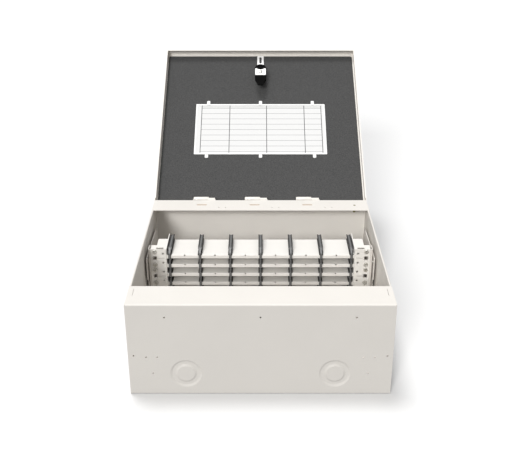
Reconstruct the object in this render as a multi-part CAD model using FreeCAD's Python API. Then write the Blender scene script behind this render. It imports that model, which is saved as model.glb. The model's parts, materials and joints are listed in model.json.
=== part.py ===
import FreeCAD, Part

# Wall-mount fiber termination box: a steel enclosure with a hinged door, three
# lift-off hinges, a cam lock, a chart holder on the door's foam liner, and a
# four-unit rack-width stack of eight trays on plastic guides.
#
# Frame: millimetres.  The origin is the centre of the four wall-mounting holes on
# the back face, +Z points out of the wall, +Y from the wall with the conduit
# knockouts to the wall with the hinges, X to the right.  The door is modelled
# closed and stored turned open by DOOR_REST_DEG about the hinge axis.

import math
import os

V = FreeCAD.Vector
AXIS_X = V(1, 0, 0)
AXIS_Y = V(0, 1, 0)
AXIS_Z = V(0, 0, 1)

# ---- enclosure ----
BOX_WIDTH = 514.0
BOX_LENGTH = 500.0
BOX_DEPTH = 203.0
SHEET = 1.5
BEND = 1.0              # inner bend radius of the enclosure and door sheets
NEAR_FLANGE = 72.5      # rim flange at the knockout wall
FAR_FLANGE = 61.5       # rim flange at the hinge wall
RIM_HEM = 4.0           # width of the side walls' hemmed rim
RIM_HEM_DROP = 12.0
END_SLOT_X = 246.0      # narrow slots at both ends of the near flange
END_SLOT_WIDTH = 0.8
END_SLOT_Y = (35.0, 63.0)

# ---- wall mounting and knockouts ----
WALL_SPACING_X = 406.4
WALL_SPACING_Y = 381.0
WALL_HOLE_R = 4.0
KNOCKOUT_X = 145.5
KNOCKOUT_Z = 48.0
KNOCKOUT_R = (27.0, 21.0)   # flat floor of the pressed ring, outer and inner
KNOCKOUT_OFFSET = 1.8   # how far the ring is pressed in
KNOCKOUT_SLOPE = 4.2
WALL_HOLE_SMALL_R = 1.9
NEAR_HOLES_BELOW_RIM = (27.5, 27.5, 117.0, 117.0, 154.0, 114.0)
NEAR_HOLES_X = (0.0, 182.5, 200.0, 222.0, 210.0, 246.0)
WELD_DIMPLES_X = (-181.0, 0.0, 181.0)
WELD_DIMPLE_BELOW_RIM = 38.0
WELD_DIMPLE_DEPTH = 0.6

# ---- door ----
DOOR_REST_DEG = 147.0
DOOR_GAP = 0.3          # between the door's edge and the rim when closed
DOOR_OVERHANG = 1.5     # door beyond the box at each side
DOOR_DEPTH = 25.4
DOOR_FRONT_SETBACK = 2.5
DOOR_HEM = 3.3
DOOR_HEM_DEPTH = 12.0
DOOR_LIP = 9.5
DOOR_REAR_GAP = 1.2     # between the hinge barrels and the door's rear flange
DOOR_REAR_RISE = 3.0    # rear flange stops this far above the hinge axis
FOAM = 3.0
FOAM_SIDE_GAP = 3.9
FOAM_FRONT_GAP = 9.2
FOAM_REAR_GAP = 6.0

# ---- hinges ----
HINGE_Y_GAP = 1.2       # hinge barrel to the far wall
HINGE_BARREL_R = 3.3
HINGE_PIN_R = 1.95
HINGE_PIN_CLEARANCE = 0.05
HINGE_SHEET = 1.5
HINGE_X = (-128.25, -1.75, 124.75)   # joint line between the two halves
DOOR_LEAF_WIDTH = 36.5
DOOR_LEAF_FOOT = 22.0
BOX_LEAF_WIDTH = 18.5
BOX_LEAF_DEPTH = 19.0
HINGE_END_GAP = 0.25
BARREL_LENGTH = 17.0
HINGE_SLOT = (25.0, 7.0)
HINGE_SLOT_Y = 29.0     # slot centre from the far wall
HINGE_SPARE_HOLES = (29.0, 45.0)
HINGE_SPARE_Y = 45.0
HINGE_TAIL_DEPTH = 37.0  # welded tail of the box leaf, under the flange
HINGE_TAIL_LEFT = 29.0

# ---- rack ----
RACK_UNIT = 44.45
RACK_UNITS = 4
RACK_HOLE_HALF = 232.55
RACK_HOLE_OFFSETS = (6.35, 38.1)
RACK_SQUARE_OFFSET = 22.225
RACK_SQUARE = 9.5
EAR_HALF = 241.3
CHASSIS_Z = 4.8
CHASSIS_SHEET = 1.6
CHASSIS_HALF = 208.0
CHASSIS_FRONT = 23.5
CHASSIS_DEPTH = 79.5
TOP_FLANGE = (21.0, 52.0)     # width beyond the side, depth behind the ear
EAR_FLANGE_DEPTH = 20.5
RELIEF_X = (5.0, 21.5)        # relief slot beside the ear's top, from the side
RELIEF_DEPTH = 9.0
EAR_SLIT = (3.0, 18.0, 1.0)   # from the side, to, and its height
EAR_HOLE = (6.5, 2.4)         # from the side, radius
RAIL_SHEET = 2.0
RAIL_INNER = 221.0
RAIL_OUTER = 247.0
RAIL_DEPTH = 22.0
BRACKET_SHEET = 2.0
BRACKET_OUTER = 251.0
BRACKET_FRONT = 15.0
BRACKET_BACK = 204.0
BRACKET_TOP = (163.0, 152.0)
BRACKET_NOTCH_Z = 111.0
BRACKET_FOOT = 18.0
BRACKET_WINDOW_Y = (70.0, 35.0)   # from the bracket's front and back ends
BRACKET_WINDOW_Z = (40.0, 115.0)
BRACKET_SCREW_Y = (35.0, 25.0)

# ---- trays ----
TRAY_SHEET = 1.2
TRAY_LIP = 7.7
TRAY_TAB = 7.5
TRAY_REAR_LIP = 4.0
BAYS = 6
BAY_PITCH = 66.7
GUIDE_WIDTH = 9.0
GUIDE_HEIGHT = 12.6
GUIDE_WEB = 4.4
GUIDE_FLANGE = 2.4
GUIDE_NOSE_WIDTH = 5.2
GUIDE_NOSE = 3.0
GUIDE_NOSE_RUN = 16.0
GUIDE_CHANNEL = (5.4, 1.0)    # width and depth of the channel along the top

# ---- chart holder ----
CHART_WIDTH = 341.0
CHART_LENGTH = 166.0
CHART_NEAR = 151.5      # nearer long side, from the hinge axis
CHART_SHEET = 1.0
CHART_BORDER = 4.5
CARD_SHEET = 0.4
CHART_CLIP_X = (-138.0, 0.0, 138.0)
CHART_CLIP_WIDTH = 8.5
CHART_CLIP_OUT = 11.0
CHART_CLIP_HOLD = 4.0

# ---- lock ----
LOCK_REACH = 25.0       # from the near flange's edge to the lock's axis
LOCK_BARREL_R = 13.5
LOCK_TOP = 1.6          # top of the lock barrel below the rim plane
LOCK_BASE = 5.0
LOCK_BASE_HALF = 15.0
LOCK_BASE_FRONT = 50.0   # base beyond the axis, towards the free edge
LOCK_BASE_REAR = 20.0    # and towards the hinges
LOCK_BOSS_OFFSET = 22.0
LOCK_BOSS_R = 14.3
LOCK_BOSS_GAP = 2.0      # between the boss and the near flange when closed
LOCK_BOSS_RING = (9.8, 7.8, 1.2)   # groove in the boss: outer and inner radius, depth
LOCK_PLUG_R = 6.0
LOCK_CLEARANCE = 0.05
LOCK_FACE_R = 16.0
LOCK_FACE = 3.0
CAM_SHEET = 2.5
CAM_LENGTH = 46.0
CAM_ROOT_HALF = 15.0
CAM_TIP_HALF = 7.0
CAM_PLATE = (28.6, 23.0, 1.5)
CAM_PLATE_NOTCH = 4.0
CAM_GAP = 0.4
CLIP_WIDTH = 17.6
CLIP_SLOT = (6.4, 23.4)
CLIP_SHEET = 1.2
CLIP_FRONT_GAP = 0.6

# ---- fasteners ----
SCREW_R = 2.9
SCREW_CLEARANCE = 0.4
HEAD_R = 4.9
HEAD_HEIGHT = 3.2
NUT_HALF = 4.75
NUT_HEIGHT = 4.0
RIVET_R = 2.0
RIVET_HEAD_R = 3.4
RIVET_HEAD = 1.1
GROUND_R = 3.0
GROUND_LENGTH = 18.0
GROUND_X = 225.0
GROUND_INSET = 32.0     # from the far wall

# ---- worked out from the above ----
HALF_W = BOX_WIDTH / 2
NEAR_Y = -BOX_LENGTH / 2
FAR_Y = BOX_LENGTH / 2
INNER_W = HALF_W - SHEET
HINGE_Y = FAR_Y + HINGE_Y_GAP + HINGE_BARREL_R
HINGE_Z = BOX_DEPTH
DOOR_TIP_Z = BOX_DEPTH + DOOR_GAP
DOOR_TOP_Z = DOOR_TIP_Z + DOOR_DEPTH
DOOR_PANEL_Z = DOOR_TOP_Z - SHEET
FOAM_Z = DOOR_PANEL_Z - FOAM
DOOR_HALF = HALF_W + DOOR_OVERHANG
DOOR_NEAR_Y = NEAR_Y + DOOR_FRONT_SETBACK
DOOR_FAR_Y = HINGE_Y + HINGE_BARREL_R + DOOR_REAR_GAP + SHEET
LOCK_U = HINGE_Y - (NEAR_Y + NEAR_FLANGE) - LOCK_REACH
CHASSIS_TOP = CHASSIS_Z + RACK_UNIT * RACK_UNITS
CHASSIS_INNER = CHASSIS_HALF - CHASSIS_SHEET
TRAY_COUNT = 2 * RACK_UNITS
TRAY_PITCH = RACK_UNIT / 2
RAIL_Y = CHASSIS_FRONT + CHASSIS_SHEET
GUIDE_X = [BAY_PITCH * (i - BAYS / 2) for i in range(BAYS + 1)]
CAM_Z = BOX_DEPTH - LOCK_TOP - 2 * SHEET - CAM_GAP - CAM_SHEET


# ---- helpers ----
def box(x0, x1, y0, y1, z0, z1):
    """Box between two corners, given in any order."""
    low = V(min(x0, x1), min(y0, y1), min(z0, z1))
    return Part.makeBox(abs(x1 - x0), abs(y1 - y0), abs(z1 - z0), low)


def cylinder(radius, length, base, axis=AXIS_Z):
    return Part.makeCylinder(radius, length, base, axis)


def prism(points, height):
    """Solid raised from a closed outline of points by a vector."""
    return Part.Face(Part.makePolygon(points + points[:1])).extrude(height)


def union(shapes):
    return shapes[0].fuse(shapes[1:]).removeSplitter()


def mirror_x(shape):
    return shape.mirror(V(0, 0, 0), AXIS_X)


def both_sides(shape):
    return [shape, mirror_x(shape)]


def upright_edges(shape, axis, test):
    """Straight edges parallel to an axis whose middle passes a test."""
    chosen = []
    for edge in shape.Edges:
        if len(edge.Vertexes) != 2:
            continue
        run = edge.Vertexes[1].Point - edge.Vertexes[0].Point
        if run.Length > 0 and abs(abs(run.dot(axis)) - run.Length) < 1e-6:
            if test(edge.CenterOfMass):
                chosen.append(edge)
    return chosen


def folded(path, sheet, bend, place, run):
    """Sheet bent along a line of straight runs, then extruded.

    path holds (u, v) corners of the sheet's middle line, place turns (u, v) into
    a point, run is the extrusion vector and bend the inner bend radius.
    """
    mid = bend + sheet / 2
    sides = {1: [], -1: []}
    points = [FreeCAD.Vector(u, v, 0) for u, v in path]
    starts = {1: None, -1: None}
    for i, corner in enumerate(points):
        before = (corner - points[i - 1]).normalize() if i else None
        after = (points[i + 1] - corner).normalize() if i + 1 < len(points) else None
        if before is None or after is None:
            along = after or before
            normal = V(-along.y, along.x, 0)
            for side in (1, -1):
                end = corner + normal * (side * sheet / 2)
                if before is None:
                    starts[side] = end
                else:
                    sides[side].append(("line", starts[side], end))
                    starts[side] = end
            continue
        turn = before.cross(after).z
        angle = math.atan2(turn, before.dot(after))
        back = mid * math.tan(abs(angle) / 2)
        hand = 1 if angle > 0 else -1
        enter = corner - before * back
        leave = corner + after * back
        centre = enter + V(-before.y, before.x, 0) * (hand * mid)
        outward = (corner - centre).normalize()
        for side in (1, -1):
            radius = mid - hand * side * sheet / 2
            first = enter + V(-before.y, before.x, 0) * (side * sheet / 2)
            last = leave + V(-after.y, after.x, 0) * (side * sheet / 2)
            sides[side].append(("line", starts[side], first))
            sides[side].append(("arc", first, centre + outward * radius, last))
            starts[side] = last
    edges = []
    for side in (1, -1):
        for item in sides[side]:
            spots = [place(p.x, p.y) for p in item[1:]]
            if item[0] == "line":
                edges.append(Part.LineSegment(*spots).toShape())
            else:
                edges.append(Part.Arc(*spots).toShape())
    first_end = [place(*sheet_end(points, 0, s * sheet / 2)) for s in (1, -1)]
    last_end = [place(*sheet_end(points, -1, s * sheet / 2)) for s in (1, -1)]
    edges.append(Part.LineSegment(*first_end).toShape())
    edges.append(Part.LineSegment(*last_end).toShape())
    wire = Part.Wire(Part.__sortEdges__(edges))
    return Part.Face(wire).extrude(run)


def sheet_end(points, index, offset):
    """A corner of the sheet's cut end, offset from the middle line."""
    along = points[1] - points[0] if index == 0 else points[-1] - points[-2]
    along.normalize()
    spot = points[index] + V(-along.y, along.x, 0) * offset
    return spot.x, spot.y


def in_yz(x):
    return lambda u, v: V(x, u, v)


def in_xz(y):
    return lambda u, v: V(u, y, v)


def in_xy(z):
    return lambda u, v: V(u, v, z)


def slot(centre_x, centre_y, length, width, z0, z1):
    """Round-ended slot along X, cut through between two heights."""
    half = length / 2 - width / 2
    ends = [cylinder(width / 2, z1 - z0, V(centre_x + s * half, centre_y, z0)) for s in (-1, 1)]
    middle = box(centre_x - half, centre_x + half, centre_y - width / 2, centre_y + width / 2, z0, z1)
    return union([middle] + ends)


def pan_head(spot, axis, length):
    """Screw with a domed head whose seat is at spot; the shank runs against axis."""
    head = cylinder(HEAD_R, HEAD_HEIGHT, spot, axis)
    rims = [e for e in head.Edges if e.Closed and (e.CenterOfMass - spot).dot(axis) > HEAD_HEIGHT / 2]
    head = head.makeFillet(HEAD_HEIGHT * 0.6, rims)
    return union([head, cylinder(SCREW_R, length, spot - axis * length, axis)])


def rivet(spot, axis, grip):
    """Rivet with a flat head on each side of a grip, its first head seated at spot."""
    head = cylinder(RIVET_HEAD_R, RIVET_HEAD, spot, axis)
    parts = [head.makeChamfer(RIVET_HEAD / 2, [e for e in head.Edges if e.Closed and
                                               (e.CenterOfMass - spot).dot(axis) > RIVET_HEAD / 2])]
    parts.append(cylinder(RIVET_R, grip, spot - axis * grip, axis))
    parts.append(cylinder(RIVET_HEAD_R, RIVET_HEAD, spot - axis * (grip + RIVET_HEAD), axis))
    return union(parts)


def opened(shape):
    """Turn a closed-door shape to the stored, open position."""
    turned = shape.copy()
    turned.rotate(V(0, HINGE_Y, HINGE_Z), AXIS_X, -DOOR_REST_DEG)
    return turned


def door_y(u):
    """Closed-door Y of a point u away from the hinge axis along the door."""
    return HINGE_Y - u


# ---- enclosure ----
def knockout_ring(x, y):
    """Pressed ring round the inner slug, with sloping sides."""
    outer, inner = KNOCKOUT_R
    spot = V(x, y, KNOCKOUT_Z)
    wide = Part.makeCone(outer + KNOCKOUT_SLOPE, outer, KNOCKOUT_OFFSET, spot, AXIS_Y)
    core = Part.makeCone(inner - KNOCKOUT_SLOPE, inner, KNOCKOUT_OFFSET, spot, AXIS_Y)
    return wide.cut(core)


def small_hole(x, z):
    return cylinder(WALL_HOLE_SMALL_R, 3 * SHEET, V(x, NEAR_Y - SHEET, z), AXIS_Y)


def near_wall_holes():
    """Small tooling and spare mounting holes in the knockout wall."""
    holes = []
    for x, below in zip(NEAR_HOLES_X, NEAR_HOLES_BELOW_RIM):
        for side in (1, -1):
            if x or side == 1:
                holes.append(small_hole(side * x, BOX_DEPTH - below))
    return holes


def weld_dimples():
    """Shallow marks inside the far wall."""
    face = V(0, FAR_Y - SHEET - 1, BOX_DEPTH - WELD_DIMPLE_BELOW_RIM)
    depth = 1 + WELD_DIMPLE_DEPTH
    return [cylinder(WALL_HOLE_SMALL_R, depth, face + V(x, 0, 0), AXIS_Y) for x in WELD_DIMPLES_X]


def hinge_cuts(x):
    """Notch for the box leaf, slot and spare hole pair beside one hinge."""
    notch_x = x + HINGE_END_GAP
    cuts = [box(notch_x, notch_x + BOX_LEAF_WIDTH, FAR_Y - BOX_LEAF_DEPTH, FAR_Y + 1,
                BOX_DEPTH - SHEET, BOX_DEPTH + 1)]
    cuts.append(slot(x - HINGE_SLOT[0] / 2, FAR_Y - HINGE_SLOT_Y, HINGE_SLOT[0], HINGE_SLOT[1],
                     BOX_DEPTH - 2 * SHEET, BOX_DEPTH + 1))
    for offset in HINGE_SPARE_HOLES:
        cuts.append(cylinder(1.9, 3 * SHEET, V(x + offset, FAR_Y - HINGE_SPARE_Y, BOX_DEPTH - 2 * SHEET)))
    return cuts


def wall_holes():
    spots = [(sx * WALL_SPACING_X / 2, sy * WALL_SPACING_Y / 2) for sx in (-1, 1) for sy in (-1, 1)]
    return [cylinder(WALL_HOLE_R, 3 * SHEET, V(x, y, -SHEET)) for x, y in spots]


def box_wrap():
    """Near wall, back panel, far wall and both rim flanges, folded from one sheet."""
    half = SHEET / 2
    path = [(NEAR_Y + NEAR_FLANGE, BOX_DEPTH - half), (NEAR_Y + half, BOX_DEPTH - half),
            (NEAR_Y + half, half), (FAR_Y - half, half),
            (FAR_Y - half, BOX_DEPTH - half), (FAR_Y - FAR_FLANGE, BOX_DEPTH - half)]
    shape = folded(path, SHEET, BEND, in_yz(-INNER_W), V(2 * INNER_W, 0, 0))
    cuts = near_wall_holes() + weld_dimples() + wall_holes()
    pressed = [knockout_ring(side * KNOCKOUT_X, NEAR_Y + SHEET) for side in (-1, 1)]
    shape = union([shape] + pressed)
    for side in (-1, 1):
        cuts.append(knockout_ring(side * KNOCKOUT_X, NEAR_Y))
        cuts.append(box(side * END_SLOT_X, side * (END_SLOT_X + END_SLOT_WIDTH), NEAR_Y + END_SLOT_Y[0],
                        NEAR_Y + END_SLOT_Y[1], BOX_DEPTH - 2 * SHEET, BOX_DEPTH + 1))
    for x in HINGE_X:
        cuts += hinge_cuts(x)
    cuts.append(cylinder(GROUND_R, 3 * SHEET, V(GROUND_X, FAR_Y - GROUND_INSET, BOX_DEPTH - 2 * SHEET)))
    for x, y in bracket_foot_spots():
        for side in (-1, 1):
            cuts.append(cylinder(SCREW_R, 3 * SHEET, V(side * x, y, -SHEET)))
    return shape.cut(cuts)


def side_wall_right():
    """Flat side wall with its rim hemmed inwards between the two flanges."""
    plate = box(INNER_W, HALF_W, NEAR_Y, FAR_Y, 0, BOX_DEPTH)
    half = SHEET / 2
    path = [(HALF_W - RIM_HEM + half, BOX_DEPTH - RIM_HEM_DROP), (HALF_W - RIM_HEM + half, BOX_DEPTH - half),
            (HALF_W - half, BOX_DEPTH - half), (HALF_W - half, BOX_DEPTH - RIM_HEM_DROP)]
    start = NEAR_Y + NEAR_FLANGE
    length = BOX_LENGTH - NEAR_FLANGE - FAR_FLANGE
    hem = folded(path, SHEET, 0.4, in_xz(start), V(0, length, 0))
    rim = box(INNER_W, HALF_W, start, start + length, BOX_DEPTH - RIM_HEM_DROP, BOX_DEPTH)
    return union([plate.cut(rim), hem])


# ---- hinges ----
def leaf_barrel(x0, x1):
    return cylinder(HINGE_BARREL_R, x1 - x0, V(x0, HINGE_Y, HINGE_Z), AXIS_X)


def box_leaf(x):
    """Hinge half that fills its notch in the far flange, with a tail under the flange and its barrel."""
    x0 = x + HINGE_END_GAP
    x1 = x0 + BOX_LEAF_WIDTH
    plate = box(x0, x1, FAR_Y - BOX_LEAF_DEPTH, HINGE_Y, BOX_DEPTH - SHEET, BOX_DEPTH)
    bore = cylinder(HINGE_PIN_R, BARREL_LENGTH, V(x0, HINGE_Y, HINGE_Z), AXIS_X)
    tail = box(x - HINGE_TAIL_LEFT, x1, FAR_Y - HINGE_TAIL_DEPTH, FAR_Y - SHEET - BEND,
               BOX_DEPTH - SHEET - HINGE_SHEET, BOX_DEPTH - SHEET)
    tail = tail.makeFillet(3.0, upright_edges(tail, AXIS_Z, lambda p: p.y < FAR_Y - HINGE_TAIL_DEPTH + 0.1))
    return union([plate, tail, leaf_barrel(x0, x0 + BARREL_LENGTH)]).cut(bore)


def hinge_pin(x):
    """Pin held in the box half; the door half lifts off it along X."""
    x1 = x + HINGE_END_GAP + BARREL_LENGTH
    length = 2 * BARREL_LENGTH + HINGE_END_GAP
    pin = cylinder(HINGE_PIN_R, length, V(x1 - length, HINGE_Y, HINGE_Z), AXIS_X)
    tip = [e for e in pin.Edges if e.Closed and e.CenterOfMass.x < x1 - length / 2]
    return pin.makeChamfer(HINGE_PIN_R / 3, tip)


def door_leaf(x):
    """Hinge half on the door: barrel, upright web and riveted foot on the panel."""
    barrel = leaf_barrel(x - BARREL_LENGTH, x)
    half = HINGE_SHEET / 2
    web_y = HINGE_Y - HINGE_BARREL_R + half
    foot_z = DOOR_PANEL_Z - half
    path = [(web_y, HINGE_Z), (web_y, foot_z), (door_y(DOOR_LEAF_FOOT), foot_z)]
    plate = folded(path, HINGE_SHEET, 0.5, in_yz(x - DOOR_LEAF_WIDTH), V(DOOR_LEAF_WIDTH, 0, 0))
    web_low = HINGE_Z + HINGE_BARREL_R + 1
    relief = box(x - DOOR_LEAF_WIDTH - 1, x - BARREL_LENGTH, HINGE_Y - 2 * HINGE_BARREL_R, HINGE_Y + 1,
                 HINGE_Z - HINGE_BARREL_R, web_low)
    corners = upright_edges(plate, AXIS_Z, lambda p: p.y < door_y(DOOR_LEAF_FOOT) + 0.1)
    plate = plate.makeFillet(3.0, corners).cut(relief)
    bore = cylinder(HINGE_PIN_R + HINGE_PIN_CLEARANCE, BARREL_LENGTH + 2,
                    V(x - BARREL_LENGTH - 1, HINGE_Y, HINGE_Z), AXIS_X)
    holes = [cylinder(RIVET_R, 3 * SHEET, V(rx, ry, foot_z - 2 * SHEET)) for rx, ry in leaf_rivet_spots(x)]
    return opened(union([plate, barrel]).cut([bore] + holes))


def leaf_rivet_spots(x):
    y = door_y(DOOR_LEAF_FOOT - 6.5)
    return [(x - DOOR_LEAF_WIDTH * share, y) for share in (0.25, 0.75)]


# ---- door ----
def door_panel():
    """Shallow pan with hemmed sides, an inward lip at its free edge and a rear flange."""
    outer = box(-DOOR_HALF, DOOR_HALF, DOOR_NEAR_Y, DOOR_FAR_Y, DOOR_TIP_Z, DOOR_TOP_Z)
    top = [e for e in outer.Edges if e.CenterOfMass.z > DOOR_TOP_Z - 1e-6]
    outer = outer.makeFillet(BEND + SHEET, top)
    inner = box(-DOOR_HALF + SHEET, DOOR_HALF - SHEET, DOOR_NEAR_Y + SHEET, DOOR_FAR_Y - SHEET,
                DOOR_TIP_Z - 1, DOOR_PANEL_Z)
    inner = inner.makeFillet(BEND, [e for e in inner.Edges if e.CenterOfMass.z > DOOR_PANEL_Z - 1e-6])
    rear = box(-DOOR_HALF - 1, DOOR_HALF + 1, DOOR_FAR_Y - SHEET - 0.5, DOOR_FAR_Y + 1,
               DOOR_TIP_Z - 1, HINGE_Z + DOOR_REAR_RISE)
    pan = outer.cut([inner, rear])
    hem_in = DOOR_HALF - DOOR_HEM
    hem = box(hem_in, DOOR_HALF - SHEET, DOOR_NEAR_Y + SHEET, FAR_Y, DOOR_TIP_Z, DOOR_TIP_Z + DOOR_HEM_DEPTH)
    lip = box(-DOOR_HALF + SHEET, DOOR_HALF - SHEET, DOOR_NEAR_Y + SHEET, DOOR_NEAR_Y + DOOR_LIP,
              DOOR_TIP_Z, DOOR_TIP_Z + SHEET)
    shape = union([pan, lip] + both_sides(hem))
    cuts = [cylinder(LOCK_BARREL_R - 4, 3 * SHEET, V(0, door_y(LOCK_U), DOOR_PANEL_Z - SHEET))]
    for x in HINGE_X:
        for rx, ry in leaf_rivet_spots(x):
            cuts.append(cylinder(RIVET_R, 3 * SHEET, V(rx, ry, DOOR_PANEL_Z - SHEET)))
    return opened(shape.cut(cuts))


def foam_liner():
    """Sheet of foam over the door's inner face, cut out round hinges and lock."""
    half = DOOR_HALF - SHEET - FOAM_SIDE_GAP
    near = DOOR_NEAR_Y + SHEET + FOAM_FRONT_GAP
    sheet = box(-half, half, near, HINGE_Y - FOAM_REAR_GAP, FOAM_Z, DOOR_PANEL_Z)
    corners = upright_edges(sheet, AXIS_Z, lambda p: True)
    sheet = sheet.makeFillet(3.0, corners)
    cuts = []
    for x in HINGE_X:
        cuts.append(box(x - DOOR_LEAF_WIDTH - 0.8, x + 0.8, door_y(DOOR_LEAF_FOOT + 0.8), HINGE_Y,
                        FOAM_Z - 1, DOOR_PANEL_Z + 1))
    cuts.append(cylinder(LOCK_BARREL_R - 3, 2 * FOAM + SHEET, V(0, door_y(LOCK_U), FOAM_Z - SHEET)))
    return opened(sheet.cut(cuts))


def door_rivets():
    """Two rivets through each door leaf and the panel."""
    grip = SHEET + HINGE_SHEET
    seat = DOOR_PANEL_Z - HINGE_SHEET
    group = []
    for x in HINGE_X:
        for rx, ry in leaf_rivet_spots(x):
            group.append(rivet(V(rx, ry, seat), V(0, 0, -1), grip))
    return opened(Part.makeCompound(group))


# ---- chart holder ----
def chart_card():
    """Printed port chart, held flat on the foam by the frame."""
    half = CHART_WIDTH / 2 - CHART_BORDER / 2
    y0 = door_y(CHART_NEAR + CHART_LENGTH - CHART_BORDER / 2)
    y1 = door_y(CHART_NEAR + CHART_BORDER / 2)
    return opened(box(-half, half, y0, y1, FOAM_Z - CARD_SHEET, FOAM_Z))


def chart_frame():
    """Flat frame whose opening shows the card and whose rebate holds its edges."""
    half = CHART_WIDTH / 2
    y0 = door_y(CHART_NEAR + CHART_LENGTH)
    y1 = door_y(CHART_NEAR)
    low = FOAM_Z - CARD_SHEET - CHART_SHEET
    plate = box(-half, half, y0, y1, low, FOAM_Z)
    plate = plate.makeFillet(2.0, upright_edges(plate, AXIS_Z, lambda p: True))
    window = box(-half + CHART_BORDER, half - CHART_BORDER, y0 + CHART_BORDER, y1 - CHART_BORDER,
                 low - 1, FOAM_Z + 1)
    rebate = CHART_BORDER / 2
    seat = box(-half + rebate, half - rebate, y0 + rebate, y1 - rebate, FOAM_Z - CARD_SHEET, FOAM_Z + 1)
    return opened(plate.cut([window, seat]))


def chart_clips():
    """Six clips, three along each long side, that hold the frame to the door."""
    top = FOAM_Z - CARD_SHEET - CHART_SHEET
    half = CHART_CLIP_WIDTH / 2
    group = []
    for x in CHART_CLIP_X:
        for edge, out in ((door_y(CHART_NEAR), 1), (door_y(CHART_NEAR + CHART_LENGTH), -1)):
            foot = box(x - half, x + half, edge, edge + out * CHART_CLIP_OUT, top, FOAM_Z)
            ends = upright_edges(foot, AXIS_Z, lambda p: (p.y - edge) * out > CHART_CLIP_OUT / 2)
            foot = foot.makeFillet(2.5, ends)
            hook = box(x - half, x + half, edge - out * CHART_CLIP_HOLD, edge + out * 2, top - 1.0, top)
            group.append(union([foot, hook]))
    return opened(Part.makeCompound(group))


# ---- lock ----
def lock_axis(z):
    return V(0, door_y(LOCK_U), z)


def rims_below(shape, height):
    return [e for e in shape.Edges if e.Closed and e.CenterOfMass.z < height]


def lock_housing():
    """Moulded housing: a base that tapers to the hinge side and a round barrel."""
    y0 = door_y(LOCK_U + LOCK_BASE_FRONT)
    y1 = door_y(LOCK_U - LOCK_BASE_REAR)
    half = LOCK_BASE_HALF
    low = FOAM_Z - LOCK_BASE
    taper = [V(-half, y0 + half, low), V(half, y0 + half, low), V(half, door_y(LOCK_U - 4), low),
             V(CAM_TIP_HALF, y1, low), V(-CAM_TIP_HALF, y1, low), V(-half, door_y(LOCK_U - 4), low)]
    base = prism(taper, V(0, 0, LOCK_BASE))
    nose = cylinder(half, LOCK_BASE, V(0, y0 + half, low))
    barrel_low = BOX_DEPTH - LOCK_TOP - 2 * SHEET
    barrel = cylinder(LOCK_BARREL_R, FOAM_Z - barrel_low, lock_axis(barrel_low))
    barrel = barrel.makeChamfer(1.0, rims_below(barrel, barrel_low + 1))
    boss_spot = lock_axis(BOX_DEPTH + LOCK_BOSS_GAP) - AXIS_Y * LOCK_BOSS_OFFSET
    boss = cylinder(LOCK_BOSS_R, FOAM_Z - boss_spot.z, boss_spot)
    boss = boss.makeChamfer(1.5, rims_below(boss, boss_spot.z + 1))
    ring_outer, ring_inner, ring_depth = LOCK_BOSS_RING
    ring = cylinder(ring_outer, ring_depth, boss_spot).cut(cylinder(ring_inner, ring_depth, boss_spot))
    neck = cylinder(LOCK_BARREL_R - 4, DOOR_TOP_Z - FOAM_Z, lock_axis(FOAM_Z))
    bore = cylinder(LOCK_PLUG_R + LOCK_CLEARANCE, 200, lock_axis(barrel_low - 50))
    clip_pocket = box(-CLIP_WIDTH / 2, CLIP_WIDTH / 2, y0 - 1, y0 + half, FOAM_Z - CLIP_SHEET, FOAM_Z + 1)
    return opened(union([base, nose, barrel, boss, neck]).cut([bore, ring, clip_pocket]))


def lock_clip():
    """Slotted steel clip lying on the foam, its inner end under the housing."""
    y0 = DOOR_NEAR_Y + SHEET + FOAM_FRONT_GAP + CLIP_FRONT_GAP
    y1 = door_y(LOCK_U + LOCK_BASE_FRONT) + LOCK_BASE_HALF
    half = CLIP_WIDTH / 2
    plate = box(-half, half, y0, y1, FOAM_Z - CLIP_SHEET, FOAM_Z)
    plate = plate.makeFillet(3.0, upright_edges(plate, AXIS_Z, lambda p: p.y < y0 + 0.1))
    centre = y0 + 4 + CLIP_SLOT[1] / 2
    run = CLIP_SLOT[1] / 2 - CLIP_SLOT[0] / 2
    holes = [cylinder(CLIP_SLOT[0] / 2, 4, V(0, centre + s * run, FOAM_Z - 3)) for s in (-1, 1)]
    holes.append(box(-CLIP_SLOT[0] / 2, CLIP_SLOT[0] / 2, centre - run, centre + run, FOAM_Z - 3, FOAM_Z + 1))
    return opened(plate.cut(holes))


def lock_face():
    """Round face plate on the outside of the door."""
    disc = cylinder(LOCK_FACE_R, LOCK_FACE, lock_axis(DOOR_TOP_Z))
    rim = [e for e in disc.Edges if e.Closed and e.CenterOfMass.z > DOOR_TOP_Z + 1]
    disc = disc.makeFillet(LOCK_FACE * 0.6, rim)
    bore = cylinder(LOCK_PLUG_R + LOCK_CLEARANCE, 2 * LOCK_FACE, lock_axis(DOOR_TOP_Z - 1))
    return opened(disc.cut(bore))


def lock_plug():
    """Keyed plug that runs through the housing and carries the cam."""
    low = CAM_Z
    top = DOOR_TOP_Z + LOCK_FACE
    plug = cylinder(LOCK_PLUG_R, top - low - CAM_SHEET - CAM_GAP, lock_axis(low + CAM_SHEET + CAM_GAP))
    square = CAM_ROOT_HALF / 4
    axis_y = door_y(LOCK_U)
    drive = box(-square, square, axis_y - square, axis_y + square, low, low + CAM_SHEET + CAM_GAP)
    keyway = box(-0.6, 0.6, axis_y - 3.5, axis_y + 3.5, top - 6, top + 1)
    thread = cylinder(SCREW_R, 12, lock_axis(low - 1))
    return opened(union([plug, drive]).cut([keyway, thread]))


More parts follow.
